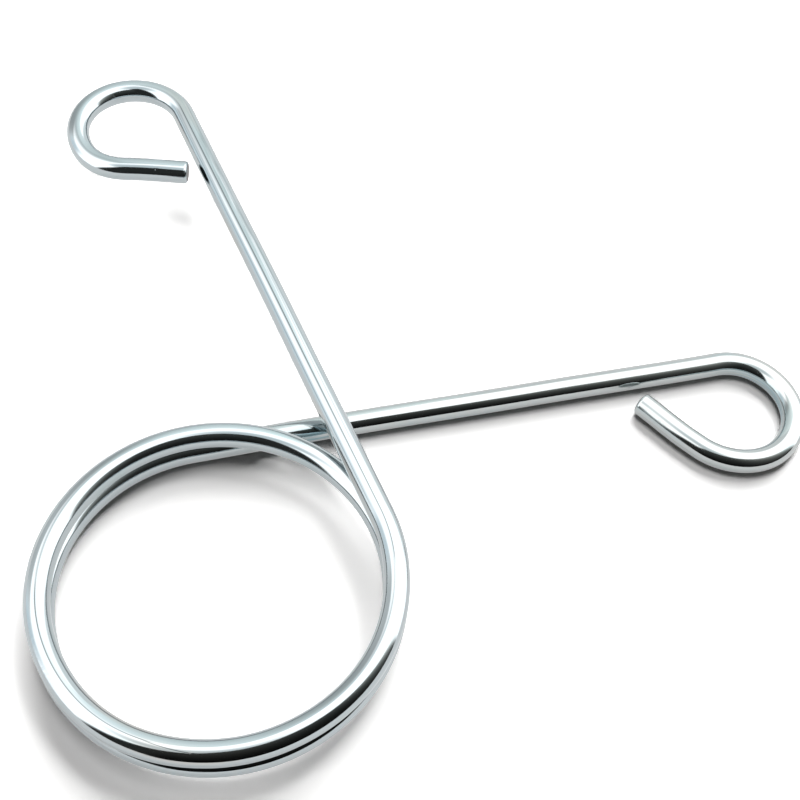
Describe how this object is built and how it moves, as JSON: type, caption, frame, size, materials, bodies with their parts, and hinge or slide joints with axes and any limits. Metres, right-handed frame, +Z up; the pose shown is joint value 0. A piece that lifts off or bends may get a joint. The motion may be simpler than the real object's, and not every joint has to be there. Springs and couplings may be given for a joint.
{
  "type": "torsion spring",
  "caption": "Torsion spring of bright round steel wire: an open, close-wound coil with long straight legs that cross where they leave it and curl back into hooks.",
  "frame": {"origin": "on the plane that the spring lies on, under the middle of the coil", "axes": "+X along the lower leg, away from the coil; +Z up, out of the surface that the spring lies on; +Y from the middle of the coil towards the lower leg's tangent point"},
  "size_m": [0.0992, 0.0985, 0.0103],
  "materials": {
    "zinc_plated_wire": "bright zinc plating over drawn spring steel wire"
  },
  "bodies": {
    "root": {"torsion_spring": "zinc_plated_wire"}
  },
  "joints": []
}
